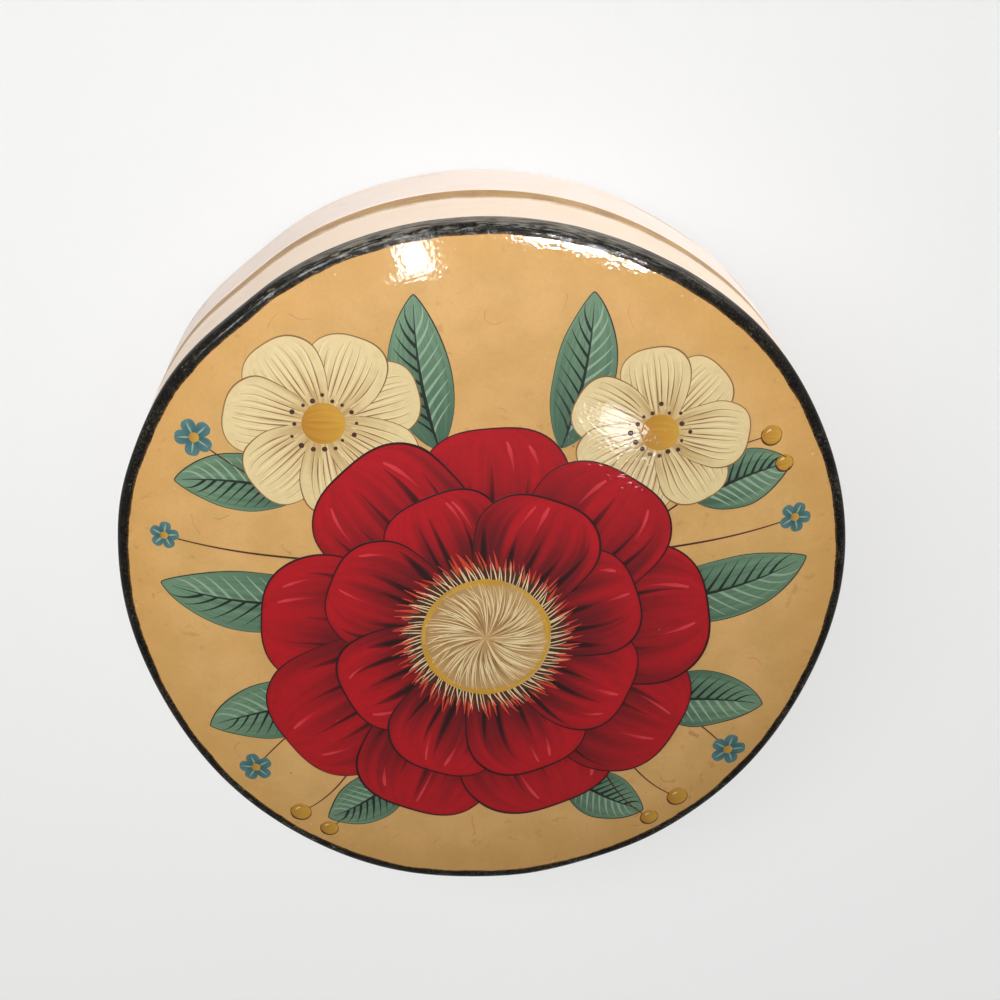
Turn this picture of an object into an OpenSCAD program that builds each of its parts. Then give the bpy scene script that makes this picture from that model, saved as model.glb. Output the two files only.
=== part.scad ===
// Round trinket box of lacquered papier mache with a lift-off lid.
// The base is a ring on a board, with an inner collar that stands proud of the seam.
// The lid is a crowned board on a ring that slips down over the collar.
// Frame: +Z up through the lid, origin at the centre of the underside.

/* [Box] */
// Outside diameter of the boards and rings
box_d = 100; // [70:1:160]
// Height of the base, from the underside to the seam
base_h = 13; // [8:0.5:40]
// Height of the lid, from the seam to the shoulder of its board
lid_h = 17; // [11:0.5:40]

/* [Lid] */
// Thickness of the lid board
lid_board_t = 2.4; // [1.8:0.1:5]
// Rise of the lid board from its shoulder to its flat middle
crown_h = 2; // [0.8:0.1:4]
// Width of the band over which the lid board falls from its flat middle to its edge
crown_w = 20; // [8:1:30]
// Radius of the rolled edge of the lid board
rim_r = 1.2; // [0.4:0.1:1.7]
// Thickness of the lid ring
lid_ring_t = 3; // [2:0.1:6]

/* [Base] */
// Thickness of the base board
base_board_t = 2.4; // [1.8:0.1:5]
// Radius of the rounded foot of the base board
foot_r = 1.5; // [0.4:0.1:1.7]

/* [Collar] */
// Thickness of the collar
collar_t = 1.8; // [1:0.1:3]
// Height of the collar above the seam
collar_rise = 6; // [3:0.5:10]

/* [Fits] */
// Radial play of the lid ring on the collar
lid_play = 0.25; // [0.1:0.05:0.6]
// Radial glue line between the collar and the base ring
glue_line = 0.1; // [0.05:0.05:0.3]
// Radius of the softened edges at the seam
seam_r = 0.5; // [0.2:0.1:0.9]
// Radius of the lead-in inside the mouth of the lid
mouth_r = 0.8; // [0.3:0.1:1.1]

/* [Hidden] */
$fn = 256;

box_r = box_d / 2;
lid_bore_r = box_r - lid_ring_t;
collar_r = lid_bore_r - lid_play;
base_bore_r = collar_r + glue_line;

seam_z = base_h;
collar_top_z = seam_z + collar_rise;
shoulder_z = seam_z + lid_h;
lid_ring_top_z = shoulder_z - lid_board_t;
crown_z = shoulder_z + crown_h;

// The crown leaves the flat middle as an arc and falls to the shoulder
flat_r = box_r - crown_w;
crown_r = (crown_w * crown_w + crown_h * crown_h) / (2 * crown_h);
crown_centre_z = crown_z - crown_r;

// The rolled edge is an arc that touches both the crown and the side of the lid
rim_centre_r = box_r - rim_r;
rim_reach = crown_r - rim_r;
rim_offset = rim_centre_r - flat_r;
rim_centre_z = crown_centre_z + sqrt(rim_reach * rim_reach - rim_offset * rim_offset);
rim_touch_r = flat_r + rim_offset * crown_r / rim_reach;

// How far a cutting shape runs past the face that it cuts
past = 1;

lacquer_cream = "#f7e6d4";
lacquer_black = "#24211f";
lacquer_honey = "#d8ab6c";

// Waste outside a rounded edge at radius r and height z.
// out is 1 for an outside edge and -1 for an inside one; up is 1 for a top edge and -1 for a bottom one.
module edge_waste(r, z, edge_r, out, up) {
    side = edge_r + past;
    difference() {
        translate([out > 0 ? r - edge_r : r - past, up > 0 ? z - edge_r : z - past]) square(side);
        translate([r - out * edge_r, z - up * edge_r]) circle(edge_r);
    }
}

// Plain rectangular half section
module section(r_in, r_out, z_low, z_high) {
    translate([r_in, z_low]) square([r_out - r_in, z_high - z_low]);
}

// Disc that closes the base, with a rounded foot
module base_board() {
    color(lacquer_black)
    rotate_extrude() difference() {
        section(0, box_r, 0, base_board_t);
        edge_waste(box_r, 0, foot_r, 1, -1);
    }
}

// Wall of the base, glued on the base board
module base_ring() {
    color(lacquer_cream)
    rotate_extrude() difference() {
        section(base_bore_r, box_r, base_board_t, seam_z);
        edge_waste(box_r, seam_z, seam_r, 1, 1);
    }
}

// Neck of the base, glued inside its wall, with a bullnose top that leads the lid on
module collar() {
    nose_r = collar_t / 2;
    color(lacquer_black)
    rotate_extrude() union() {
        section(collar_r - collar_t, collar_r, base_board_t, collar_top_z - nose_r);
        translate([collar_r - nose_r, collar_top_z - nose_r]) circle(nose_r);
    }
}

// Wall of the lid, with a softened seam edge and a lead-in at its mouth
module lid_ring() {
    color(lacquer_cream)
    rotate_extrude() difference() {
        section(lid_bore_r, box_r, seam_z, lid_ring_top_z);
        edge_waste(box_r, seam_z, seam_r, 1, -1);
        edge_waste(lid_bore_r, seam_z, mouth_r, -1, -1);
    }
}

// Half section under the crown, inset below its surface
module crown_section(r_out, z_low, inset) {
    section(0, flat_r, z_low, crown_z - inset);
    intersection() {
        section(flat_r, r_out, z_low, crown_z - inset);
        translate([flat_r, crown_centre_z]) circle(crown_r - inset);
    }
}

// Pressed disc of even thickness that closes the lid, crowned, with a rolled edge
module lid_board() {
    color(lacquer_honey)
    rotate_extrude() difference() {
        crown_section(box_r, lid_ring_top_z, 0);
        crown_section(lid_bore_r, lid_ring_top_z - past, lid_board_t);
        difference() {
            section(rim_touch_r, box_r + past, rim_centre_z, crown_z);
            translate([rim_centre_r, rim_centre_z]) circle(rim_r);
        }
    }
}

base_board();
base_ring();
collar();
lid_ring();
lid_board();
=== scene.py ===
import random
from math import acos, atan2, copysign, cos, degrees, exp, hypot, pi, radians, sin, sqrt

import bmesh
import bpy
import numpy as np
from mathutils import Matrix, Vector, noise


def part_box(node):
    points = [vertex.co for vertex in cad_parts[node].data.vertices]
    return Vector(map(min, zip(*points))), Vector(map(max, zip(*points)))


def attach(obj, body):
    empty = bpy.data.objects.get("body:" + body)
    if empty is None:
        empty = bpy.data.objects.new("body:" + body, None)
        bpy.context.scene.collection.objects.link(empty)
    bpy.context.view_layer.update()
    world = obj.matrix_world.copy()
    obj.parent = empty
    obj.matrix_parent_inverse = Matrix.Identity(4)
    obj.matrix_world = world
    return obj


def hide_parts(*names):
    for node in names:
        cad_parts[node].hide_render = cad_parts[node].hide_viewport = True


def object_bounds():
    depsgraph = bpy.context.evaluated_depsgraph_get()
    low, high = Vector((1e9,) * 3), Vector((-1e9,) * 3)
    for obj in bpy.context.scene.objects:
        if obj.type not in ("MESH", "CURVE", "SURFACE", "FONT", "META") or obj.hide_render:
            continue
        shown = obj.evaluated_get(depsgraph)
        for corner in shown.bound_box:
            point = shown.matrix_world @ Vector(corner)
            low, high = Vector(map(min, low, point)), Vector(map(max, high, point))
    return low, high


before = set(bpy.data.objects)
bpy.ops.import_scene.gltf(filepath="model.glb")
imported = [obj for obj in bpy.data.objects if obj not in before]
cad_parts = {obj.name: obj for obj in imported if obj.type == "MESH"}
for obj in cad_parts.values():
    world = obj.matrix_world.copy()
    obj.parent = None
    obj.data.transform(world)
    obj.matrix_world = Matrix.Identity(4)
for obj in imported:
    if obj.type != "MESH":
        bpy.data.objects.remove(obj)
cad_low, cad_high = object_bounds()

MM = 0.001
draw = random.Random(11)


# Sizes taken from the frame
def reach(node):
    """Least and greatest distance of a node's points from the axis."""
    radii = [hypot(v.co.x, v.co.y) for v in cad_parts[node].data.vertices]
    return min(radii), max(radii)


lid_bore_r, box_r = reach("lid_ring")
base_bore_r = reach("base_ring")[0]
seam_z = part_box("lid_ring")[0].z
lid_ring_top_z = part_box("lid_ring")[1].z
crown_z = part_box("lid_board")[1].z
base_board_top_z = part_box("base_ring")[0].z
ground_z = cad_low.z

# Sizes of the pieces that their boxes don't give
CROWN_H = 2 * MM
CROWN_W = 20 * MM
RIM_R = 1.2 * MM
BOARD_T = 2.4 * MM
FOOT_R = 1.5 * MM
SEAM_R = 0.5 * MM
MOUTH_R = 0.8 * MM

shoulder_z = crown_z - CROWN_H
flat_r = box_r - CROWN_W
crown_r = (CROWN_W ** 2 + CROWN_H ** 2) / (2 * CROWN_H)
crown_centre_z = crown_z - crown_r
rim_centre_r = box_r - RIM_R
rim_reach = crown_r - RIM_R
rim_angle = acos((rim_centre_r - flat_r) / rim_reach)
rim_centre_z = crown_centre_z + rim_reach * sin(rim_angle)

# The hand-made outline: angle round the box in degrees, push outwards, and width in degrees
DENTS = (
    (42, 0.4 * MM, 12),
    (130, -0.4 * MM, 8),
    (146, 0.4 * MM, 12),
    (165, 0.3 * MM, 8),
    (202, -0.9 * MM, 20),
    (254, 0.6 * MM, 16),
    (277, 0.3 * MM, 8),
    (298, 0.2 * MM, 8),
    (338, -0.6 * MM, 18),
)
# Power of the radius with which the dents fade towards the middle of a board
DENT_FADE = 6

# Unevenness of the lid's face and of the walls, which fades out at the ends of a wall
FACE_WAVE = 0.012 * MM
FACE_WAVE_LENGTH = 11 * MM
WALL_WAVE = 0.07 * MM
WALL_WAVE_LENGTH = 9 * MM
WALL_WAVE_FADE = 2 * MM

# Points round the box in the pieces and in the coats, and the least angle of a sharp edge
TURN = 360
COAT_TURN = 4 * TURN
SHARP_ANGLE = radians(40)

# Steps of a seam edge and of the foot that the wall's cream covers, and steps of the mouth left black
# Past these cream steps a seam edge takes the dark edge paint, which also paints in the shade line along
# the seam.
SEAM_CREAM = 2
FOOT_CREAM = 6
MOUTH_BLACK = 2

# Black edge of the lid: width on the face, greatest reach below the board, length over the edge
BORDER_W = 1.6 * MM
BORDER_LOW = 0.15 * MM
BORDER_RUN = 3.7 * MM
# Part of the crown that the edge's path covers
BORDER_ARC = radians(3)
# Wander of the edge's inner side: layer of the noise, depth and length
BORDER_WANDER = ((1, 0.20 * MM, 5 * MM), (2, 0.06 * MM, 1.4 * MM), (3, 0.05 * MM, 0.6 * MM))
# Wander of its lower side: layer of the noise and length
BORDER_LOW_WANDER = (4, 6 * MM)

# Gold line: length over the wall and the seam edge, and how far round the seam edge it goes
GOLD_W = 6.0 * MM
GOLD_UNDER = radians(60)

# Thickness of a coat, its share at the sides of the coat, and how deep paint is rooted in the piece
COAT_T = 0.03 * MM
COAT_SIDE = 0.35
PAINT_ROOT = 0.04 * MM

# Pale and warm tone of the walls
LID_CREAM = ((244, 223, 202), (241, 218, 195))
BASE_CREAM = ((243, 228, 217), (240, 223, 210))


# The outline and the faces of the box
def out_of_round(angle):
    """How far the hand-made outline stands out of the true circle."""
    push = 0.0
    for place, depth, width in DENTS:
        off = (degrees(angle) - place + 180) % 360 - 180
        push += depth * exp(-((off / width) ** 2))
    return push


def board_push(r, angle):
    """The same at a radius of a board."""
    return out_of_round(angle) * (r / box_r) ** DENT_FADE


def wave(x, y, z, length):
    """Smooth unevenness between about -1 and 1."""
    return noise.noise(Vector((x, y, z)) / length)


def lid_point(r, z, angle):
    """Where a point of the lid board's true profile lies on the hand-made board."""
    r += board_push(r, angle)
    x = r * cos(angle)
    y = r * sin(angle)
    above_ring = min(1.0, (z - lid_ring_top_z) / (shoulder_z - lid_ring_top_z))
    return x, y, z + above_ring * FACE_WAVE * wave(x, y, 0, FACE_WAVE_LENGTH)


def ring_point(bore_r):
    """The same for a ring, whose bore stays true."""
    def place(r, z, angle):
        outer = (r - bore_r) / (box_r - bore_r)
        x = cos(angle)
        y = sin(angle)
        ripple = WALL_WAVE * wave(x * r, y * r, z, WALL_WAVE_LENGTH)
        ends = min(z - ground_z, abs(z - seam_z), abs(z - lid_ring_top_z)) / WALL_WAVE_FADE
        r += outer * (out_of_round(angle) + ripple * min(1.0, ends))
        return x * r, y * r, z
    return place


def base_board_point(r, z, angle):
    """The same for the base board, which stays flat."""
    r += board_push(r, angle)
    return r * cos(angle), r * sin(angle), z


def face_z(x, y):
    """Height of the lid's painted face."""
    r = hypot(x, y)
    true_r = r - board_push(r, atan2(y, x))
    drop = max(0.0, true_r - flat_r)
    z = crown_centre_z + sqrt(crown_r ** 2 - drop ** 2)
    return z + FACE_WAVE * wave(x, y, 0, FACE_WAVE_LENGTH)


def arc(centre_x, centre_y, radius, start, end, points):
    """Points of an arc, from one angle to another."""
    return [
        (centre_x + radius * cos(a), centre_y + radius * sin(a))
        for a in np.linspace(start, end, points)
    ]


# Meshes
def add_object(name, data):
    """A new object in the scene."""
    made = bpy.data.objects.new(name, data)
    bpy.context.collection.objects.link(made)
    return made


def make_mesh(name, vertices, faces, materials, finish=None, marks=None):
    """A closed, smooth-shaded piece. finish has the material number of each face."""
    mesh = bpy.data.meshes.new(name)
    mesh.from_pydata(vertices, [], faces)
    if marks is not None:
        layer = mesh.attributes.new("stroke", "FLOAT_VECTOR", "POINT")
        layer.data.foreach_set("vector", np.asarray(marks, dtype=np.float32).ravel())
    for material in materials:
        mesh.materials.append(material)
    if finish:
        mesh.polygons.foreach_set("material_index", finish)
    work = bmesh.new()
    work.from_mesh(mesh)
    bmesh.ops.recalc_face_normals(work, faces=work.faces)
    work.to_mesh(mesh)
    work.free()
    mesh.polygons.foreach_set("use_smooth", [True] * len(mesh.polygons))
    mesh.set_sharp_from_angle(angle=SHARP_ANGLE)
    return add_object(name, mesh)


def lathe(name, profile, place, materials, finish, loop):
    """Turn a profile round the axis. finish has the material number of each of its steps."""
    vertices = []
    rows = []
    for r, z in profile:
        turn = TURN if r > 0 else 1
        rows.append([len(vertices) + i for i in range(turn)])
        vertices += [place(r, z, 2 * pi * i / turn) for i in range(turn)]
    faces = []
    numbers = []
    following = rows[1:] + (rows[:1] if loop else [])
    for row, after, number in zip(rows, following, finish):
        for i in range(TURN):
            j = (i + 1) % TURN
            corners = [row[i % len(row)], row[j % len(row)], after[j % len(after)], after[i % len(after)]]
            faces.append(list(dict.fromkeys(corners)))
            numbers.append(number)
    return make_mesh(name, vertices, faces, materials, numbers)


class Path:
    """A run of points in the half section, measured by the distance along it."""

    def __init__(self, points):
        self.points = np.array(points)
        steps = np.hypot(*np.diff(self.points, axis=0).T)
        self.run = np.concatenate(([0], np.cumsum(steps)))
        self.length = self.run[-1]

    def between(self, start, stop, rows):
        """Points from one distance to another, each with its outward normal."""
        at = np.linspace(start, stop, rows)
        r = np.interp(at, self.run, self.points[:, 0])
        z = np.interp(at, self.run, self.points[:, 1])
        slope_r = np.gradient(r, at)
        slope_z = np.gradient(z, at)
        return list(zip(r, z, -slope_z, slope_r))


def coat_ring(name, path, ends, place, material, rows):
    """A thin coat of paint round the lid. ends(x, y) gives where it starts and stops along the path."""
    vertices = []
    marks = []
    for i in range(COAT_TURN):
        angle = 2 * pi * i / COAT_TURN
        section = path.between(*ends(box_r * cos(angle), box_r * sin(angle)), rows)
        for side in (1, -1):
            for number, (r, z, out_r, out_z) in enumerate(section):
                across = number / (rows - 1)
                rise = COAT_T * (COAT_SIDE + sin(pi * across)) if side > 0 else -PAINT_ROOT
                vertices.append(place(r + rise * out_r, z + rise * out_z, angle))
                marks.append((across, 0.0, 0.0))
    ring_size = 2 * rows
    order = list(range(rows)) + list(range(ring_size - 1, rows - 1, -1))
    faces = []
    for i in range(COAT_TURN):
        here = i * ring_size
        there = (i + 1) % COAT_TURN * ring_size
        for a, b in zip(order, order[1:] + order[:1]):
            faces.append((here + a, here + b, there + b, there + a))
    coat = make_mesh(name, vertices, faces, [material], marks=marks)
    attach(coat, "lid")


# Shader nodes
def tone(red, green, blue):
    """A colour given as it looks on a screen, 0 to 255, as the linear colour of a shader."""
    linear = []
    for value in (red, green, blue):
        share = value / 255
        linear.append(share / 12.92 if share <= 0.04045 else ((share + 0.055) / 1.055) ** 2.4)
    return (*linear, 1.0)


class Shader:
    """The nodes of a material or of the world, and short calls for those that it needs."""

    def __init__(self, owner, surface):
        owner.use_nodes = True
        self.owner = owner
        self.tree = owner.node_tree
        self.surface = self.tree.nodes[surface]
        self.places = self.node("TexCoord").outputs
        self.place = self.places["Object"]

    def node(self, kind, inputs=(), **settings):
        """A new node of a kind, with its settings and inputs."""
        made = self.tree.nodes.new("ShaderNode" + kind)
        for key, value in settings.items():
            setattr(made, key, value)
        self.feed(made, inputs)
        return made

    def feed(self, node, inputs):
        """Link each input of a node to a socket, or set it to a number or a colour on a screen."""
        for key, value in dict(inputs).items():
            if isinstance(value, bpy.types.NodeSocket):
                self.tree.links.new(value, node.inputs[key])
            else:
                node.inputs[key].default_value = tone(*value) if isinstance(value, tuple) else value

    def noise(self, size, detail=2.0, where=None, roughness=0.5):
        """Noise whose features are about one size, in the units of the place it reads."""
        inputs = {"Vector": where or self.place, "Scale": 1 / size}
        return self.node("TexNoise", {**inputs, "Detail": detail, "Roughness": roughness}).outputs["Fac"]

    def math(self, operation, a, b=0.0):
        """The result of a sum on one or two values."""
        return self.node("Math", {0: a, 1: b}, operation=operation).outputs[0]

    def plus(self, a, b):
        return self.math("ADD", a, b)

    def minus(self, a, b):
        return self.math("SUBTRACT", a, b)

    def times(self, a, b):
        return self.math("MULTIPLY", a, b)

    def ramp(self, value, low, high):
        """0 below low and 1 above high, with a soft step between; it falls where high is the lower."""
        inputs = {"Value": value, "From Min": low, "From Max": high}
        return self.node("MapRange", inputs, interpolation_type="SMOOTHSTEP").outputs["Result"]

    def mix(self, share, a, b):
        """Colour a turned into colour b by a share."""
        return self.node("Mix", {0: share, 6: a, 7: b}, data_type="RGBA").outputs[2]

    def glaze(self, colour, where, strength, shade):
        """A colour with another laid over it in some places, at a strength."""
        return self.mix(self.times(where, strength), colour, shade)

    def split(self, vector):
        return self.node("SeparateXYZ", {"Vector": vector}).outputs

    def join(self, x, y, z):
        return self.node("CombineXYZ", {"X": x, "Y": y, "Z": z}).outputs[0]

    def radius(self):
        """Distance from the box's axis."""
        x, y, _ = self.split(self.place)
        return self.math("SQRT", self.plus(self.times(x, x), self.times(y, y)))

    def drawn_round(self, stretch, across):
        """A place whose features are drawn out round the box."""
        x, y, _ = self.split(self.place)
        return self.join(self.times(x, 1 / stretch), self.times(y, 1 / stretch), across)

    def specks(self, spacing, radius, share):
        """Sparse round specks: 1 inside a speck and 0 outside."""
        cells = self.node("TexVoronoi", {"Vector": self.place, "Scale": 1 / spacing})
        near = self.ramp(cells.outputs["Distance"], radius / spacing, 0.5 * radius / spacing)
        chosen = self.ramp(self.split(cells.outputs["Color"])["X"], 1 - share, 1.02 - share)
        return self.times(near, chosen)

    def stroke(self):
        """The mark that the mesh carries: share along, share across, and a number for each stroke."""
        return self.split(self.node("Attribute", attribute_name="stroke").outputs["Vector"])

    def finish(self, colour, roughness, height, coat=1.0, coat_roughness=0.03, specular=0.3):
        """Paint under varnish. height is the relief of the varnish in metres."""
        bump = self.node("Bump", {"Height": height, "Distance": 1.0}).outputs["Normal"]
        paint = {"Base Color": colour, "Roughness": roughness, "Specular IOR Level": specular}
        gloss = {"Coat Weight": coat, "Coat Roughness": coat_roughness}
        self.feed(self.surface, {**paint, **gloss, "Normal": bump, "Coat Normal": bump})
        return self.owner


def new_material(name):
    """The nodes of a new material."""
    return Shader(bpy.data.materials.new(name), "Principled BSDF")


def varnish(s):
    """Relief of the brushed varnish on the lid: slow swell, brush ripple, fine grain and dust."""
    swell = s.times(s.noise(6 * MM, 1.0), 0.040 * MM)
    ripple = s.times(s.noise(1.4 * MM, 1.0), 0.006 * MM)
    grain = s.times(s.noise(0.50 * MM, 1.0), 0.010 * MM)
    dust = s.times(s.specks(1.9 * MM, 0.20 * MM, 0.4), 0.014 * MM)
    return s.plus(s.plus(swell, ripple), s.plus(grain, dust))


# Materials
def honey_ground():
    """Honey-coloured ground of the lid, mottled, with specks and hair marks under the varnish, and pale
    specks near the rim painted in as glints.
    """
    s = new_material("honey_ground")
    mottle = s.ramp(s.noise(6 * MM, 4.0), 0.32, 0.68)
    colour = s.mix(mottle, (208, 164, 97), (219, 173, 108))
    blush = s.ramp(s.noise(4 * MM), 0.50, 0.75)
    colour = s.glaze(colour, blush, 0.30, (222, 166, 104))
    pooled = s.ramp(s.radius(), box_r - 9 * MM, box_r - 2 * MM)
    colour = s.glaze(colour, pooled, 0.45, (207, 155, 78))
    grain = s.ramp(s.noise(0.5 * MM), 0.35, 0.75)
    colour = s.glaze(colour, grain, 0.10, (178, 130, 76))
    smudge_zone = s.ramp(s.noise(12 * MM, 0.0), 0.48, 0.62)
    smudge = s.times(s.ramp(s.noise(1.6 * MM), 0.60, 0.74), smudge_zone)
    colour = s.glaze(colour, smudge, 0.35, (172, 124, 66))
    vein = s.math("ABSOLUTE", s.minus(s.noise(7 * MM, 1.0), 0.5))
    hair = s.times(s.ramp(vein, 0.005, 0.001), s.ramp(s.noise(4 * MM, 0.0), 0.64, 0.69))
    colour = s.glaze(colour, hair, 0.4, (136, 92, 50))
    colour = s.glaze(colour, s.specks(4 * MM, 0.20 * MM, 0.35), 0.7, (96, 62, 36))
    # Painted glints: pale specks, most of them near the rim, that stand for small highlights in the
    # varnish.
    pale = s.times(s.specks(1.7 * MM, 0.16 * MM, 0.3), s.plus(0.15, pooled))
    colour = s.glaze(colour, pale, 0.55, (246, 222, 166))
    return s.finish(colour, 0.5, varnish(s))


def grey_sheen_and_scuffs(s, colour, across, width):
    """Grey painted into the edge paint towards +Y, where its rolled edge and side face the light: a painted
    sheen, drawn as hair marks on the rolled edge and scuffs down the side.
    """
    y = s.split(s.place)["Y"]
    # Painted sheen: the share of the edge towards +Y, the side that faces the light.
    sheen_side = s.ramp(s.plus(y, s.times(s.noise(9 * MM), 16 * MM)), 46 * MM, 57 * MM)
    middle = s.times(s.ramp(across, 0.14, 0.30), sheen_side)
    hairs = s.ramp(s.noise(0.25 * MM, 3.0, s.drawn_round(7, width)), 0.44, 0.64)
    colour = s.glaze(colour, s.times(hairs, middle), 0.75, (134, 132, 124))
    side = s.times(s.ramp(across, 0.36, 0.46), sheen_side)
    scuffs = s.ramp(s.noise(0.4 * MM, 3.0, s.drawn_round(6, width)), 0.3, 0.7)
    grey = s.mix(scuffs, (54, 50, 45), (142, 133, 120))
    return s.mix(s.times(side, 0.85), colour, grey)


def worn_flecks(s, across, width):
    """Flecks where the edge paint is worn off: 1 inside a fleck and 0 outside."""
    zone = s.ramp(s.noise(7 * MM), 0.52, 0.64)
    flecks = s.ramp(s.noise(0.30 * MM, 3.0, s.drawn_round(3.5, width)), 0.56, 0.68)
    return s.times(s.times(flecks, zone), s.ramp(across, 0.55, 0.35))


def border_black():
    """Black edge paint with grey dust ground into it, a painted grey sheen with scuffs towards +Y, and worn
    through in flecks.
    """
    s = new_material("border_black")
    across = s.stroke()["X"]
    width = s.times(across, BORDER_RUN)
    colour = s.mix(s.ramp(s.noise(1.8 * MM, 3.0), 0.35, 0.65), (6, 5, 4), (22, 18, 13))
    dusty = s.ramp(s.noise(4 * MM), 0.38, 0.64)
    grit = s.ramp(s.noise(0.34 * MM, 4.0, roughness=0.7), 0.46, 0.72)
    grit = s.times(grit, s.plus(0.12, s.times(dusty, 0.42)))
    colour = s.mix(grit, colour, (112, 108, 92))
    # Painted sheen: grey towards +Y where the edge catches the light, drawn as hairs and scuffs.
    colour = grey_sheen_and_scuffs(s, colour, across, width)
    chip = worn_flecks(s, across, width)
    ground = s.mix(s.noise(1.2 * MM, 0.0), (112, 108, 88), (176, 162, 134))
    colour = s.mix(s.times(chip, 0.6), colour, ground)
    thin = s.times(s.ramp(across, 0.10, 0.0), s.ramp(s.noise(0.5 * MM), 0.30, 0.60))
    colour = s.glaze(colour, thin, 0.75, (112, 80, 42))
    crust = s.plus(s.times(s.noise(0.17 * MM), 0.005 * MM), s.times(grit, 0.010 * MM))
    relief = s.plus(s.minus(varnish(s), s.times(chip, 0.015 * MM)), crust)
    roughness = s.plus(0.5, s.times(grit, 0.3))
    dull = s.ramp(s.noise(0.9 * MM, 4.0, s.drawn_round(2, width)), 0.38, 0.56)
    polish = s.minus(0.80, s.times(dull, 0.76))
    coat = s.plus(0.04, s.times(s.ramp(across, 0.32, 0.18), polish))
    return s.finish(colour, roughness, relief, coat, coat_roughness=0.09, specular=0.1)


def cream_coat(s, pale, warm):
    """Colour and relief of cream wall paint, brushed round the box, a little soiled."""
    streak = s.noise(0.6 * MM, 3.0, s.drawn_round(16, s.split(s.place)["Z"]))
    colour = s.mix(s.ramp(streak, 0.20, 0.80), warm, pale)
    cloud = s.ramp(s.noise(7 * MM, 3.0), 0.45, 0.75)
    colour = s.glaze(colour, cloud, 0.20, (226, 199, 172))
    soil_zone = s.ramp(s.noise(16 * MM, 1.0), 0.45, 0.7)
    soil = s.times(s.ramp(s.noise(2 * MM, 4.0), 0.56, 0.78), soil_zone)
    colour = s.glaze(colour, soil, 0.25, (186, 150, 116))
    colour = s.glaze(colour, s.specks(4 * MM, 0.16 * MM, 0.25), 0.6, (112, 82, 56))
    relief = s.plus(s.times(streak, 0.005 * MM), s.times(s.noise(5 * MM), 0.030 * MM))
    return colour, relief


def cream_wall(name, pale, warm):
    """Cream wall paint under a thin, dull varnish."""
    s = new_material(name)
    colour, relief = cream_coat(s, pale, warm)
    return s.finish(colour, 0.55, relief, coat=0.12, coat_roughness=0.25, specular=0.2)


def gold_paint(pale, warm):
    """Mottled gold along the seam, whose upper edge feathers out over the wall's cream in a dry brush.
    Lighter patches paint in the gleam of the gold, and it is painted darker in shade where it turns under
    the seam edge.
    """
    s = new_material("gold_paint")
    cream, relief = cream_coat(s, pale, warm)
    across = s.stroke()["X"]
    width = s.times(across, GOLD_W)
    brush = s.noise(0.40 * MM, 3.0, s.drawn_round(12, width))
    gold = s.mix(s.ramp(brush, 0.25, 0.75), (166, 121, 60), (188, 144, 80))
    # Lighter gold patches: part mottle of the paint, part painted gleam of the gold.
    mottle_and_gleam = s.ramp(s.noise(1.1 * MM, 3.0, s.drawn_round(6, width)), 0.45, 0.75)
    gold = s.glaze(gold, mottle_and_gleam, 0.40, (212, 174, 110))
    dark = s.ramp(s.noise(3.2 * MM, 4.0), 0.40, 0.75)
    gold = s.glaze(gold, dark, 0.50, (124, 88, 42))
    flake = s.noise(0.15 * MM)
    gold = s.glaze(gold, s.ramp(flake, 0.45, 0.66), 0.25, (134, 96, 46))
    # Painted shade: the gold darkens where it turns under the seam edge, towards the gap between lid and
    # base.
    gold = s.glaze(gold, s.ramp(across, 0.86, 0.98), 0.6, (98, 67, 32))
    patchy = s.times(s.minus(s.noise(5 * MM), 0.5), 0.30)
    dry = s.times(s.minus(s.plus(brush, flake), 1.0), 0.45)
    thickness = s.plus(across, s.plus(patchy, dry))
    colour = s.mix(s.ramp(thickness, 0.12, 0.42), cream, gold)
    relief = s.plus(relief, s.times(flake, 0.003 * MM))
    return s.finish(colour, 0.5, relief, coat=0.10, coat_roughness=0.25, specular=0.2)


def black_lacquer():
    """Black lacquer of the inside and underside, brushed, with fine rubs and dust."""
    s = new_material("black_lacquer")
    colour = s.mix(s.ramp(s.noise(6 * MM, 3.0), 0.30, 0.70), (24, 22, 21), (40, 37, 34))
    rub = s.ramp(s.noise(0.35 * MM, 3.0), 0.60, 0.74)
    zone = s.ramp(s.noise(11 * MM), 0.42, 0.66)
    colour = s.glaze(colour, s.times(rub, zone), 0.5, (104, 96, 86))
    colour = s.glaze(colour, s.specks(3 * MM, 0.14 * MM, 0.35), 0.6, (150, 142, 130))
    relief = s.plus(s.times(s.noise(4 * MM), 0.03 * MM), s.times(rub, 0.004 * MM))
    roughness = s.plus(0.34, s.times(zone, 0.18))
    return s.finish(colour, roughness, relief, coat=0.5, coat_roughness=0.2)


def rubbed_edge_and_seam_shade():
    """Seam edges: black lacquer, dulled where lid and base rub, with bare paper along the outer corner. On
    the outer seam edges its dark also paints in the line of shade along the seam.
    """
    s = new_material("rubbed_edge_and_seam_shade")
    radius = s.radius()
    drawn = s.noise(0.30 * MM, 3.0, s.drawn_round(9, radius))
    colour = s.mix(s.noise(3 * MM), (26, 23, 21), (42, 38, 34))
    zone = s.ramp(s.noise(7 * MM), 0.40, 0.62)
    dull = s.times(s.ramp(drawn, 0.50, 0.68), s.plus(0.15, s.times(zone, 0.45)))
    colour = s.mix(dull, colour, (92, 82, 70))
    corner = s.ramp(radius, box_r - 1.1 * MM, box_r - 0.3 * MM)
    bare = s.ramp(s.plus(s.noise(0.9 * MM, 4.0), s.times(corner, 0.22)), 0.60, 0.70)
    paper = s.mix(s.noise(0.5 * MM), (128, 104, 78), (168, 142, 112))
    colour = s.mix(s.times(bare, zone), colour, paper)
    return s.finish(colour, 0.5, s.times(drawn, 0.012 * MM), coat=0.2, coat_roughness=0.25)


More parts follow.
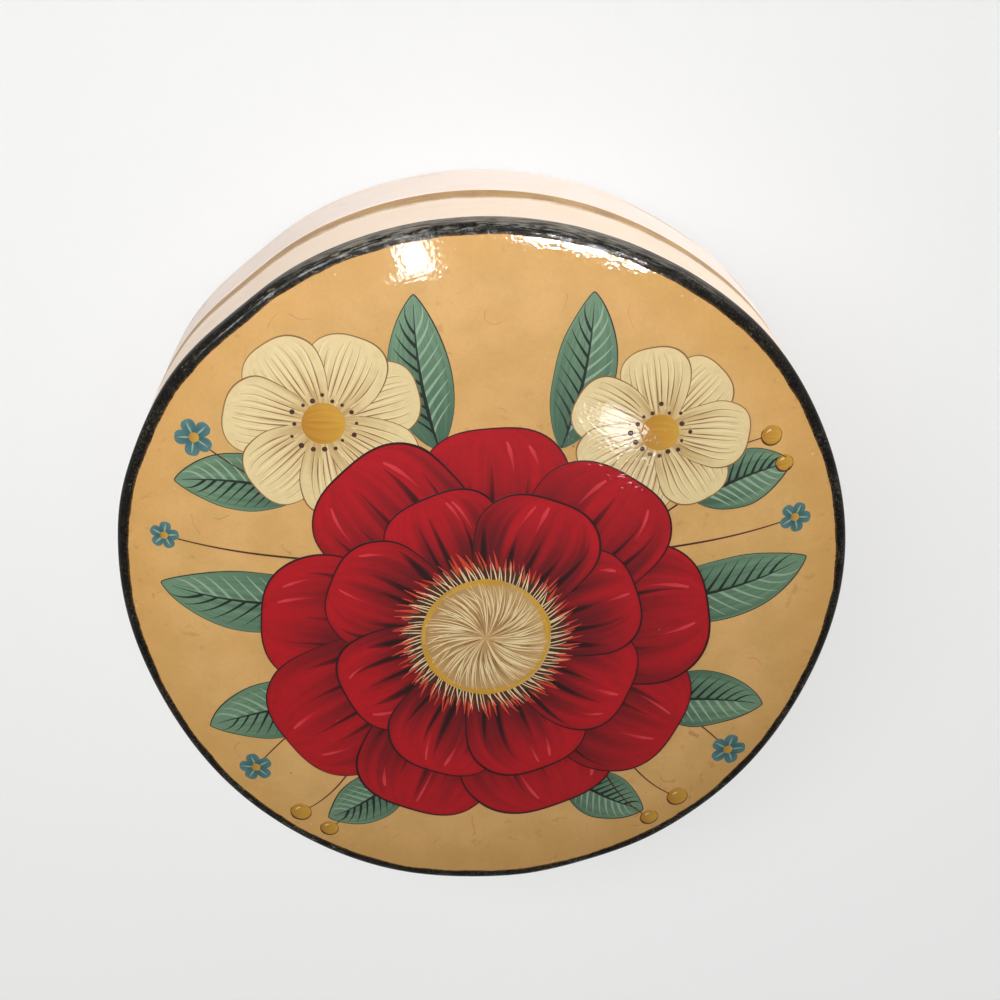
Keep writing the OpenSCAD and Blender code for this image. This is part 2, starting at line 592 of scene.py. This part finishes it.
def brush_paint(name, root, tip, turn=(0.05, 0.90), streaks=0.2, shade=None, feather=None):
    """Artist's paint with the marks of the brush.

    Its tone turns from root to tip along each stroke, between the two shares in turn.
    feather is the tone into which a soft stroke is blended at its sides.
    """
    s = new_material(name)
    along, across, seed = s.stroke()
    lane = s.join(s.times(along, 0.8), s.times(across, 5.0), s.times(seed, 60.0))
    bristle = s.noise(1.0, 3.0, lane)
    broken = s.plus(along, s.times(s.minus(bristle, 0.5), 0.7))
    colour = s.mix(s.ramp(broken, *turn), root, tip)
    streak = s.ramp(s.noise(0.6, 3.0, lane), 0.34, 0.70)
    colour = s.glaze(colour, streak, streaks, shade or root)
    patch = s.ramp(s.noise(1.6 * MM, 3.0), 0.45, 0.75)
    colour = s.glaze(colour, patch, 0.16, root)
    if feather:
        side = s.ramp(s.math("ABSOLUTE", across), 0.25, 1.0)
        end = s.ramp(along, 0.55, 1.0)
        colour = s.mix(s.math("MAXIMUM", side, end), colour, feather)
    colour = s.glaze(colour, s.specks(5 * MM, 0.15 * MM, 0.3), 0.4, (206, 178, 132))
    return s.finish(colour, 0.45, varnish(s))


# Pieces of the box
def lid_board(honey, black):
    """The crowned board of the lid: honey-coloured on its face, black underneath."""
    face = [(r, crown_z) for r in np.linspace(0, flat_r, 28, endpoint=False)]
    face += arc(flat_r, crown_centre_z, crown_r, pi / 2, rim_angle, 26)
    face += arc(rim_centre_r, rim_centre_z, RIM_R, rim_angle, 0, 12)[1:]
    under_r = crown_r - BOARD_T
    under_angle = acos((lid_bore_r - flat_r) / under_r)
    under = [(box_r, lid_ring_top_z), (lid_bore_r, lid_ring_top_z)]
    under += arc(flat_r, crown_centre_z, under_r, under_angle, pi / 2, 16)
    under += [(0, crown_z - BOARD_T)]
    finish = [0] * len(face) + [1] * (len(under) - 1)
    board = lathe("lid_board_painted", face + under, lid_point, [honey, black], finish, loop=False)
    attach(board, "lid")
    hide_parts("lid_board")


def ring(name, profile, bore_r, materials, cream_steps, edge_steps, body, node):
    """A ring whose profile starts in cream, goes on as rubbed edge and ends in black."""
    black_steps = len(profile) - cream_steps - edge_steps
    finish = [0] * cream_steps + [1] * edge_steps + [2] * black_steps
    made = lathe(name, profile, ring_point(bore_r), materials, finish, loop=True)
    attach(made, body)
    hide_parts(node)


def lid_ring(materials):
    """The wall of the lid, with a softened seam edge and a lead-in at its mouth."""
    wall = [(box_r, z) for z in np.linspace(lid_ring_top_z, seam_z + SEAM_R, 14)]
    seam = arc(box_r - SEAM_R, seam_z + SEAM_R, SEAM_R, 0, -pi / 2, 6)[1:]
    mouth = arc(lid_bore_r + MOUTH_R, seam_z + MOUTH_R, MOUTH_R, -pi / 2, -pi, 8)
    bore = [(lid_bore_r, z) for z in np.linspace(seam_z + MOUTH_R, lid_ring_top_z, 6)[1:]]
    cream_steps = len(wall) + SEAM_CREAM
    edge_steps = len(seam) - SEAM_CREAM + len(mouth) - MOUTH_BLACK
    profile = wall + seam + mouth + bore
    ring("lid_ring_painted", profile, lid_bore_r, materials, cream_steps, edge_steps, "lid", "lid_ring")


def base_ring(materials):
    """The wall of the base, with a softened seam edge."""
    wall = [(box_r, z) for z in np.linspace(base_board_top_z, seam_z - SEAM_R, 12)]
    seam = arc(box_r - SEAM_R, seam_z - SEAM_R, SEAM_R, 0, pi / 2, 6)[1:]
    bore = [(base_bore_r, seam_z), (base_bore_r, base_board_top_z)]
    cream_steps = len(wall) + SEAM_CREAM
    edge_steps = len(seam) - SEAM_CREAM
    profile = wall + seam + bore
    ring("base_ring_painted", profile, base_bore_r, materials, cream_steps, edge_steps, "base", "base_ring")


def base_board(cream, black):
    """The board under the base, with the wall's cream over its rounded foot."""
    top = [(0, base_board_top_z), (base_bore_r, base_board_top_z), (box_r, base_board_top_z)]
    foot = arc(box_r - FOOT_R, ground_z + FOOT_R, FOOT_R, 0, -pi / 2, 9)
    under = [(r, ground_z) for r in (0.9 * box_r, 0.5 * box_r, 0)]
    profile = top + foot + under
    finish = [1] * (len(top) - 1) + [0] * FOOT_CREAM + [1] * (len(foot) + len(under) - FOOT_CREAM)
    board = lathe("base_board_painted", profile, base_board_point, [cream, black], finish, loop=False)
    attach(board, "base")
    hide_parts("base_board")


def border(black):
    """Black paint from just inside the rim, over the rolled edge, to the foot of the board's edge."""
    edge = arc(flat_r, crown_centre_z, crown_r, rim_angle + BORDER_ARC, rim_angle, 12)
    edge += arc(rim_centre_r, rim_centre_z, RIM_R, rim_angle, 0, 10)[1:]
    path = Path(edge + [(box_r, lid_ring_top_z - BORDER_LOW)])
    inner = np.interp(box_r - BORDER_W, path.points[:, 0], path.run)

    def ends(x, y):
        start = inner
        for layer, depth, length in BORDER_WANDER:
            start += depth * wave(x, y, layer, length)
        return start, path.length - BORDER_LOW * (1 + wave(x, y, *BORDER_LOW_WANDER))

    coat_ring("border_paint", path, ends, lid_point, black, rows=18)


def gold_line(gold):
    """Gold paint round the lid, down to the seam and round its edge."""
    wall = [(box_r, seam_z + 2 * GOLD_W), (box_r, seam_z + SEAM_R)]
    seam = arc(box_r - SEAM_R, seam_z + SEAM_R, SEAM_R, 0, -GOLD_UNDER, 6)[1:]
    path = Path(wall + seam)

    def ends(x, y):
        return path.length - GOLD_W, path.length

    coat_ring("gold_line", path, ends, ring_point(lid_bore_r), gold, rows=16)


# Heights of the paint: from one petal to the next, and of folds and outlines above their petal
STEP = 0.008 * MM
FOLD = 0.3 * STEP
OUTLINE = 0.6 * STEP
# Rise of the middle of a stroke over its sides: soft strokes, brush lines and round dabs
FOLD_DOME = 0.0013 * MM
LINE_DOME = 0.006 * MM
DAB_DOME = 0.010 * MM

# Share of a brush line's length at which it is fullest
LINE_FULLEST = 0.3
# Unevenness of a blade's edge as a share of its width, its waves, and the least half width
RUFFLE = 0.06
RUFFLE_WAVES = 3.5
LEAST_HALF_W = 0.06 * MM
# A straight blade is drawn with this bend, in radians
LEAST_BEND = 1e-6


# Painted design: strips of paint laid on the lid's face
class Paint:
    """All the strips of one colour, which become one piece."""

    def __init__(self, name, material):
        self.name = name
        self.material = material
        self.vertices = []
        self.faces = []
        self.marks = []

    def strip(self, grid, lift, dome=0.0):
        """A closed strip of paint over a grid of points, rows along it and columns across it."""
        rows = len(grid)
        columns = len(grid[0])
        seed = draw.random()
        first = len(self.vertices)
        below = rows * columns
        for side in (1, -1):
            for i, row in enumerate(grid):
                for j, (x, y) in enumerate(row):
                    across = 2 * j / (columns - 1) - 1
                    rise = lift + dome * (1 - across * across) if side > 0 else -PAINT_ROOT
                    self.vertices.append((x, y, face_z(x, y) + rise))
                    self.marks.append((i / (rows - 1), across, seed))
        for i in range(rows - 1):
            for j in range(columns - 1):
                a = first + i * columns + j
                b = below + a
                self.faces.append((a, a + 1, a + columns + 1, a + columns))
                self.faces.append((b, b + columns, b + columns + 1, b + 1))
        at = np.arange(below).reshape(rows, columns)
        loop = np.concatenate((at[0], at[1:, -1], at[-1, -2::-1], at[-2:0:-1, 0])).tolist()
        for a, b in zip(loop, loop[1:] + loop[:1]):
            self.faces.append((first + a, first + b, first + below + b, first + below + a))

    def line(self, points, half_w, lift, dome=LINE_DOME, swell=(0.35, 1.0, 0.12)):
        """A brush line along points. swell is its width at the start, at its fullest and at the end."""
        points = np.asarray(points)
        slope = np.gradient(points, axis=0)
        slope /= np.maximum(np.hypot(*slope.T), 1e-9)[:, None]
        side = np.stack((-slope[:, 1], slope[:, 0]), axis=1)
        share = np.linspace(0, 1, len(points))
        width = half_w * np.interp(share, (0, LINE_FULLEST, 1), swell)
        across = np.array((-1, 0, 1))[None, :, None]
        self.strip(points[:, None, :] + side[:, None, :] * width[:, None, None] * across, lift, dome)

    def finish(self):
        """Make the piece."""
        piece = make_mesh(self.name, self.vertices, self.faces, [self.material], marks=self.marks)
        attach(piece, "lid")


class Blade:
    """Outline of a petal or leaf that grows from one point to another, bends and swells."""

    def __init__(self, start, end, half_w, bend, root, tip):
        """bend is in degrees; root and tip say how blunt the blade is there, with lower as blunter."""
        bend = radians(bend) or LEAST_BEND
        chord = (end[0] - start[0], end[1] - start[1])
        self.start = start
        self.heading = atan2(chord[1], chord[0]) - bend / 2
        self.length = hypot(*chord) * (bend / 2) / sin(bend / 2)
        self.half_w = half_w
        self.bend = bend
        self.root = root
        self.tip = tip
        fullest = root / (root + tip)
        self.peak = fullest ** root * (1 - fullest) ** tip
        self.seed = draw.random() * 100

    def at(self, t, s):
        """The point at a share t of the length and s of the half width."""
        t = min(max(t, 0.0), 1.0)
        turned = self.heading + self.bend * t
        scale = self.length / self.bend
        x = self.start[0] + scale * (sin(turned) - sin(self.heading))
        y = self.start[1] - scale * (cos(turned) - cos(self.heading))
        swell = (t ** self.root) * ((1 - t) ** self.tip) / self.peak
        ruffle = 1 + RUFFLE * noise.noise(Vector((self.seed, RUFFLE_WAVES * t, copysign(1, s))))
        out = s * (self.half_w * swell * ruffle + LEAST_HALF_W)
        return x - out * sin(turned), y + out * cos(turned)

    def fill(self, paint, lift, rows=30, columns=17):
        """Paint over the whole blade."""
        ends = [0.5 - 0.5 * cos(pi * i / rows) for i in range(rows + 1)]
        sides = np.linspace(-1, 1, columns)
        paint.strip([[self.at(t, s) for s in sides] for t in ends], lift)

    def lane(self, s0, s1, t0, t1, points=14):
        """Points that run along the blade from one share across it to another."""
        return [self.at(t, s) for t, s in zip(np.linspace(t0, t1, points), np.linspace(s0, s1, points))]

    def outline(self, paint, lift, half_w, start=0.25):
        """A line up one edge, round the tip and down the other."""
        rise = start + (1 - start) * np.sin(np.linspace(0, pi / 2, 30))
        path = [self.at(t, -1) for t in rise] + [self.at(t, 1) for t in rise[-2::-1]]
        paint.line(path, half_w, lift, FOLD_DOME, (0.3, 1.0, 0.3))


def circle_fill(paint, x, y, radius, lift, rows=12):
    """A round dab of paint."""
    grid = []
    for i in range(rows + 1):
        along = -cos(pi * i / rows)
        half = max(sin(pi * i / rows), 0.03)
        grid.append([(x + radius * along, y + radius * half * s) for s in np.linspace(-1, 1, 7)])
    paint.strip(grid, lift, DAB_DOME)


def spread(centre, amount):
    """A value near the centre, as a hand would vary it."""
    return centre + amount * (2 * draw.random() - 1)


def stagger(number):
    """Height that keeps strokes which cross apart."""
    return 0.1 * STEP * (number % 7)


def polar(x, y, r, bearing):
    """The point at a distance and bearing, in degrees, from another."""
    return x + r * cos(radians(bearing)), y + r * sin(radians(bearing))


def crimson_bloom(paints, x, y, petals, reach_r, half_w, root_r, lift, turn):
    """A ring of overlapping crimson petals with dark folds, pale lights and outlines."""
    for i in range(petals):
        bearing = turn + 360 * i / petals + spread(0, 4)
        start = polar(x, y, root_r, bearing)
        end = polar(x, y, reach_r * spread(1, 0.05), bearing)
        petal = Blade(start, end, half_w * spread(1, 0.05), spread(6, 8), 0.75, 0.36)
        height = lift + i * STEP
        petal.fill(paints["crimson"], height)
        for middle in (-0.84, -0.42, 0.0, 0.42, 0.84):
            s = middle + spread(0, 0.12)
            lane = petal.lane(s * 0.8, s, spread(0.34, 0.05), spread(0.82, 0.12) * (1 - 0.12 * abs(s)))
            paints["maroon"].line(lane, spread(0.75, 0.30) * MM, height + FOLD, FOLD_DOME, (0.7, 1.0, 0.06))
        for _ in range(2):
            s = spread(0.0, 0.7)
            lane = petal.lane(s, s * 1.05, 0.95 - 0.08 * abs(s), spread(0.74, 0.06), 8)
            paints["rose"].line(lane, spread(0.24, 0.08) * MM, height + FOLD, FOLD_DOME, (0.5, 1.0, 0.05))
        petal.outline(paints["maroon_edge"], height + OUTLINE, spread(0.15, 0.04) * MM)


def ray(x, y, inner, outer, bearing, sway, points=7):
    """Points of a stroke that runs outwards from a centre and sways to one side."""
    radii = np.linspace(inner, outer, points)
    return [polar(x, y, r, a) for r, a in zip(radii, np.linspace(bearing, bearing + sway, points))]


def fringe(paint, x, y, count, inner, outer, half_w, lift):
    """A ring of strokes from about one radius to about another."""
    for i in range(count):
        bearing = 360 * (i + spread(0, 0.35)) / count
        stroke = ray(x, y, inner * spread(1, 0.02), outer * spread(1, 0.06), bearing, spread(4, 3))
        paint.line(stroke, half_w * spread(1, 0.25), lift + stagger(i), FOLD_DOME, (0.8, 1.0, 0.1))


def comb_heart(paint, x, y, radius, count, lift):
    """Fine strokes that sweep round as they run outwards over the heart of the bloom."""
    for i in range(count):
        bearing = 360 * (i + spread(0.5, 0.4)) / count
        inner = radius * spread(0.32, 0.28)
        outer = radius * spread(0.90, 0.06)
        stroke = ray(x, y, inner, outer, bearing, spread(12, 4), 10)
        paint.line(stroke, spread(0.085, 0.025) * MM, lift + stagger(i), FOLD_DOME, (0.2, 1.0, 0.2))


def seed_heart(paints, x, y, radius, lift):
    """The heart of the bloom: tan, combed with fine strokes, with an ochre edge and a dark fringe."""
    fringe(paints["rust"], x, y, 90, 1.10 * radius, 1.42 * radius, 0.20 * MM, lift)
    fringe(paints["umber"], x, y, 130, 0.96 * radius, 1.24 * radius, 0.34 * MM, lift + STEP)
    fringe(paints["cream"], x, y, 120, 0.98 * radius, 1.27 * radius, 0.085 * MM, lift + 2 * STEP)
    circle_fill(paints["tan"], x, y, radius, lift + 3 * STEP, 24)
    top = lift + 3 * STEP + DAB_DOME
    for i in range(6):
        start = 60 * i + spread(0, 12)
        edge_r = radius * spread(0.955, 0.012)
        edge = [polar(x, y, edge_r, a) for a in np.linspace(start, start + spread(86, 16), 26)]
        half_w = spread(0.050, 0.015) * radius
        paints["ochre_edge"].line(edge, half_w, top + 0.05 * i * STEP, FOLD_DOME, (0.3, 1.0, 0.15))
    comb_heart(paints["fawn"], x, y, radius, 150, top + STEP)
    comb_heart(paints["cream"], x, y, radius, 130, top + 2 * STEP)


def comb_petal(paint, petal, count, half_w, lift):
    """Fine strokes along a petal, side by side."""
    for i in range(count):
        s = -0.88 + 1.76 * (i + spread(0.5, 0.2)) / count
        lane = petal.lane(s * 0.8, s, spread(0.28, 0.08), spread(0.90, 0.06) - 0.10 * abs(s), 12)
        paint.line(lane, half_w * spread(1, 0.25), lift, 0.0, (0.3, 1.0, 0.2))


def cream_blossom(paints, x, y, radius, petals, lift, turn):
    """A cream flower whose petals are combed with fine strokes."""
    for i in range(petals):
        bearing = turn + 360 * i / petals + spread(0, 5)
        end = polar(x, y, radius * spread(1, 0.05), bearing)
        petal = Blade((x, y), end, radius * 0.40, spread(0, 14), 0.8, 0.40)
        height = lift + i * STEP
        petal.fill(paints["ivory"], height, 20, 11)
        comb_petal(paints["cream"], petal, 8, 0.17 * MM, height + FOLD)
        comb_petal(paints["fawn"], petal, 9, 0.10 * MM, height + 1.5 * FOLD)
        petal.outline(paints["fawn_edge"], height + OUTLINE, 0.11 * MM)
    top = lift + (petals + 1) * STEP
    circle_fill(paints["ochre"], x, y, radius * 0.22, top)
    for i in range(16):
        dot = polar(x, y, radius * spread(0.30, 0.05), 22.5 * i)
        circle_fill(paints["umber"], *dot, spread(0.30, 0.08) * MM, top, 6)


def leaf(paints, start, end, half_w, bend, lift):
    """A sage leaf with a dark midrib and combed veins."""
    blade = Blade(start, end, half_w, bend, 0.75, 0.85)
    blade.fill(paints["sage"], lift, 24, 9)
    for kind, side in (("mist", -1), ("pine", 1)):
        for number in range(9):
            t = 0.12 + 0.08 * number
            lane = blade.lane(0, side * 0.86, t, t + 0.17, 8)
            paints[kind].line(lane, spread(0.20, 0.05) * MM, lift + FOLD, FOLD_DOME, (1.0, 0.8, 0.1))
    paints["pine"].line(blade.lane(0, 0, 0.0, 0.94, 20), 0.26 * MM, lift + OUTLINE)
    blade.outline(paints["pine"], lift + OUTLINE, 0.09 * MM, 0.05)


def small_flower(paints, x, y, radius, turn, lift):
    """A teal flower of five petals with an ochre middle."""
    for i in range(5):
        end = polar(x, y, radius, turn + 72 * i + spread(0, 6))
        petal = Blade((x, y), end, radius * 0.36, 0, 0.7, 0.4)
        petal.fill(paints["teal"], lift + 0.4 * i * STEP, 10, 5)
        paints["mist"].line(petal.lane(0, 0, 0.25, 0.85, 6), 0.14 * MM, lift + 2.4 * STEP)
    circle_fill(paints["ochre"], x, y, radius * 0.26, lift + 3 * STEP, 8)


def berry(paints, x, y, radius, lift):
    """An ochre berry with a dark outline and a light."""
    circle_fill(paints["ochre"], x, y, radius, lift)
    paints["umber"].line(arc(x, y, radius, 2.6, 7.2, 18), 0.14 * MM, lift + 0.5 * STEP)
    paints["cream"].line(arc(x, y, 0.55 * radius, 1.6, 2.7, 7), 0.13 * MM, lift + 1.6 * STEP)


def stem(paints, x, y, root, bow, half_w):
    """A thin curved stem to a point. It starts and bows at shares, root and bow, of that point."""
    share = np.linspace(0, 1, 24)[:, None]
    end = np.array((x, y))
    start = end * root
    middle = end * bow
    points = (1 - share) ** 2 * start + 2 * share * (1 - share) * middle + share ** 2 * end
    paints["umber"].line(points, half_w, STEP, swell=(1.0, 0.9, 0.5))


# The design in millimetres and degrees. Leaves: root, tip, half width and bend
LEAVES = (
    ((-20, -2), (-44, 1), 4.6, -26),
    ((-21, -18), (-39, -22), 4.6, 22),
    ((-12, -30), (-23, -38), 4.0, -24),
    ((12, -31), (23, -38), 4.0, 24),
    ((22, -19), (39.5, -20.5), 4.6, -22),
    ((22, -3), (44, 3), 4.6, 26),
    ((-24, 14), (-41, 16), 4.0, 24),
    ((28, 12), (41, 17), 4.0, -24),
    ((-6, 20), (-9, 41), 4.0, -18),
    ((10, 20), (14, 41), 4.0, 20),
)
# Small flowers and berries: place and radius
SMALL_FLOWERS = ((-38, 22, 2.6), (-33, -29, 2.4), (35, -28, 2.6), (42, 9, 2.2), (-43, 8, 2.0))
BERRIES = ((-27, -37, 1.5), (-23, -40, 1.3), (28, -36, 1.5), (24, -39.5, 1.3), (38, 21, 1.4), (40, 17, 1.2))
# Cream blossoms: place, radius and turn
BLOSSOMS = ((-21, 24, 13, 20), (23, 22, 11.5, 50))
BLOSSOM_PETALS = 7
# The large bloom: its middle, and for each ring of petals count, reach, half width, root, layer and turn
BLOOM = (0, -8 * MM)
BLOOM_RINGS = ((9, 31, 10.5, 3, 13, 90), (8, 22, 8.0, 2, 22, 112))
HEART_R = 9 * MM
HEART_LAYER = 31


def lid_design(paints):
    """The flowers on the lid's face, from the lowest layer of paint to the highest."""
    for i, (root, tip, half_w, bend) in enumerate(LEAVES):
        start, end = (tuple(v * MM for v in point) for point in (root, tip))
        leaf(paints, start, end, half_w * MM, bend, (1 + i % 3) * STEP)
    for x, y, radius in SMALL_FLOWERS:
        stem(paints, x * MM, y * MM, (0.55, 0.55), (0.8, 0.7), 0.16 * MM)
        small_flower(paints, x * MM, y * MM, radius * MM, draw.random() * 72, 2 * STEP)
    for x, y, radius in BERRIES:
        stem(paints, x * MM, y * MM, (0.6, 0.6), (0.75, 0.9), 0.14 * MM)
        berry(paints, x * MM, y * MM, radius * MM, 2 * STEP)
    for x, y, radius, turn in BLOSSOMS:
        cream_blossom(paints, x * MM, y * MM, radius * MM, BLOSSOM_PETALS, 4 * STEP, turn)
    for petals, reach_r, half_w, root_r, layer, turn in BLOOM_RINGS:
        sizes = (v * MM for v in (reach_r, half_w, root_r))
        crimson_bloom(paints, *BLOOM, petals, *sizes, layer * STEP, turn)
    seed_heart(paints, *BLOOM, HEART_R, HEART_LAYER * STEP)


# The design's colours: tone at the root and at the tip of a stroke, and how the paint is laid
COLOURS = {
    "sage": dict(root=(70, 102, 82), tip=(116, 148, 118), streaks=0.35, shade=(56, 84, 66)),
    "pine": dict(root=(24, 32, 26), tip=(34, 46, 36)),
    "mist": dict(root=(138, 164, 138), tip=(156, 178, 148)),
    "crimson": dict(
        root=(84, 12, 18), tip=(178, 10, 22), turn=(0.38, 0.84), streaks=0.3, shade=(122, 7, 15)
    ),
    "maroon": dict(root=(32, 4, 6), tip=(60, 5, 10), turn=(0.3, 1.0), feather=(122, 8, 16)),
    "maroon_edge": dict(root=(40, 6, 8), tip=(60, 8, 12)),
    "rose": dict(root=(206, 58, 62), tip=(188, 32, 44), streaks=0.25),
    "rust": dict(root=(196, 74, 36), tip=(206, 60, 38), streaks=0.25),
    "umber": dict(root=(66, 34, 22), tip=(78, 40, 26)),
    "tan": dict(root=(176, 136, 86), tip=(200, 164, 112), streaks=0.3, shade=(158, 118, 70)),
    "fawn": dict(root=(140, 98, 50), tip=(182, 144, 88)),
    "fawn_edge": dict(root=(128, 90, 48), tip=(146, 108, 60)),
    "ivory": dict(
        root=(178, 140, 84), tip=(226, 206, 154), turn=(0.10, 0.62), streaks=0.25, shade=(206, 178, 122)
    ),
    "cream": dict(root=(226, 206, 158), tip=(236, 220, 178), streaks=0.25, shade=(206, 178, 126)),
    "ochre": dict(root=(176, 122, 30), tip=(206, 156, 56), streaks=0.08, shade=(150, 98, 24)),
    "ochre_edge": dict(root=(192, 140, 38), tip=(208, 158, 52), streaks=0.4, shade=(206, 168, 84)),
    "teal": dict(root=(46, 88, 94), tip=(88, 130, 130), streaks=0.35, shade=(36, 70, 78)),
}


# Camera, at the photograph's viewing angle
IMAGE_W = 1000
SENSOR_W = 36.0
CLIP_START = 0.01
# Length of the box's radius at the lid's face, in pixels
FACE_SCALE = 363.8
VIEW_DISTANCE = 4.5 * box_r
VIEW_TILT = radians(24.1)
VIEW_SIDE = radians(2.5)
# Where the middle of the lid's face lies in the view
FACE_OFFSET = Vector((-0.0404 * box_r, -0.2158 * box_r, 0))
FOCAL_PIXELS = FACE_SCALE * VIEW_DISTANCE / box_r


def add_camera():
    """The camera. Gives its place, and rows with its right, up and back."""
    axes = Matrix.Rotation(VIEW_TILT, 3, "X") @ Matrix.Rotation(VIEW_SIDE, 3, "Y")
    face_centre = Vector((0, 0, shoulder_z))
    place = face_centre + axes.transposed() @ (Vector((0, 0, VIEW_DISTANCE)) - FACE_OFFSET)
    data = bpy.data.cameras.new("camera")
    data.sensor_width = SENSOR_W
    data.lens = FOCAL_PIXELS * SENSOR_W / IMAGE_W
    data.clip_start = CLIP_START
    camera = add_object("camera", data)
    camera.matrix_world = Matrix.Translation(place) @ axes.transposed().to_4x4()
    bpy.context.scene.camera = camera
    return place, axes


# Lamps: place, width and height in metres, power in watts, and beam in degrees
LAMPS = {
    "key": dict(place=(-0.10, 0.11, 0.245), width=0.18, height=0.08, power=0.49),
    "side": dict(place=(0.37, 0.37, 0.05), width=0.30, height=0.08, power=0.16, beam=50),
}
# Glints in the varnish: the pixel where each falls, and the lamp that makes it
GLINTS = {
    "rim_glint": dict(pixel=(414, 256), width=0.022, height=0.046, power=0.0036),
    "edge_glint": dict(pixel=(583, 245), width=0.085, height=0.006, power=0.012),
    "face_glint": dict(pixel=(622, 418), width=0.018, height=0.018, power=0.0006),
}
GLINT_DISTANCE = 0.35
GLINT_BEAM = 40
# Strength of the sky from low to high
SKY_FADE = {"From Min": 0.05, "From Max": 0.55, "To Min": 0.72, "To Max": 0.12}
# Half the width of the floor, and the share of plain white in what is seen of it
FLOOR_HALF = 6.0
FLOOR_WHITE = 0.68


def area_lamp(name, place, target, width, height, power, along=(1, 0, 0), beam=180):
    """A rectangular lamp aimed at a point, with its width along a direction."""
    data = bpy.data.lights.new(name, "AREA")
    data.shape = "RECTANGLE"
    data.size = width
    data.size_y = height
    data.energy = power
    data.spread = radians(beam)
    lamp = add_object(name, data)
    lamp.visible_camera = False
    back = (Vector(place) - Vector(target)).normalized()
    along = Vector(along)
    right = (along - back * back.dot(along)).normalized()
    facing = Matrix((right, back.cross(right), back)).transposed()
    lamp.matrix_world = Matrix.Translation(place) @ facing.to_4x4()


def glint_lamp(name, eye, axes, pixel, width, height, power):
    """A small lamp whose mirror image in the varnish falls on one pixel, with its width along the rim."""
    sight = axes.transposed() @ Vector((pixel[0] - IMAGE_W / 2, IMAGE_W / 2 - pixel[1], -FOCAL_PIXELS))
    sight.normalize()
    spot = eye + sight * ((shoulder_z - eye.z) / sight.z)
    r = hypot(spot.x, spot.y)
    slope = max(0.0, r - flat_r) / crown_r
    normal = Vector((slope * spot.x / r, slope * spot.y / r, 1)).normalized()
    along = (spot.y / r, -spot.x / r, 0)
    place = spot + GLINT_DISTANCE * sight.reflect(normal)
    area_lamp(name, place, spot, width, height, power, along, GLINT_BEAM)


def add_sky():
    """Plain white surroundings, paler towards the horizon."""
    s = Shader(bpy.data.worlds.new("studio"), "Background")
    fade = s.node("MapRange", {"Value": s.split(s.places["Generated"])["Z"], **SKY_FADE})
    s.feed(s.surface, {"Color": (255, 255, 255), "Strength": fade.outputs["Result"]})
    bpy.context.scene.world = s.owner


def add_light(eye, axes):
    """The lamps, the glints and the sky."""
    for name, lamp in LAMPS.items():
        area_lamp(name, target=(0, 0, shoulder_z), **lamp)
    for name, lamp in GLINTS.items():
        glint_lamp(name, eye, axes, **lamp)
    add_sky()


def floor_paint():
    """Pale floor. What the eye and mirrors see of it is partly its own plain white."""
    s = new_material("floor_paint")
    colour = s.mix(s.noise(0.05), (228, 229, 230), (232, 232, 232))
    s.feed(s.surface, {"Base Color": colour, "Roughness": 0.6, "Specular IOR Level": 0.1})
    ray_kinds = s.node("LightPath").outputs
    seen = s.math("MAXIMUM", ray_kinds["Is Camera Ray"], ray_kinds["Is Glossy Ray"])
    seen = s.math("MAXIMUM", seen, ray_kinds["Is Transmission Ray"])
    white = s.node("Emission", {"Color": (251, 251, 250), "Strength": 1.0}).outputs[0]
    share = s.times(seen, FLOOR_WHITE)
    mixed = s.node("MixShader", {0: share, 1: s.surface.outputs[0], 2: white}).outputs[0]
    s.feed(s.tree.nodes["Material Output"], {"Surface": mixed})
    return s.owner


def add_floor():
    """A flat floor under the box, which keeps its shadow."""
    corners = [(x * FLOOR_HALF, y * FLOOR_HALF, ground_z) for x, y in ((-1, -1), (1, -1), (1, 1), (-1, 1))]
    mesh = bpy.data.meshes.new("floor")
    mesh.from_pydata(corners, [], [(0, 1, 2, 3)])
    mesh.materials.append(floor_paint())
    floor = add_object("floor", mesh)


def add_box():
    """The boards and rings of the box with their coats. The collar keeps its own shape, in black."""
    honey = honey_ground()
    black = black_lacquer()
    edge = rubbed_edge_and_seam_shade()
    lid_cream = cream_wall("lid_cream", *LID_CREAM)
    base_cream = cream_wall("base_cream", *BASE_CREAM)
    lid_board(honey, black)
    lid_ring([lid_cream, edge, black])
    base_ring([base_cream, edge, black])
    base_board(base_cream, black)
    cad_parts["collar"].data.materials[0] = black
    border(border_black())
    gold_line(gold_paint(*LID_CREAM))


def add_design():
    """The painted design on the lid, one piece for each colour."""
    paints = {}
    for name, how in COLOURS.items():
        paints[name] = Paint(f"design_{name}", brush_paint(f"{name}_paint", **how))
    lid_design(paints)
    for paint in paints.values():
        paint.finish()


eye, axes = add_camera()
add_light(eye, axes)
add_floor()
add_box()
add_design()

bpy.context.scene.view_settings.view_transform = "Standard"
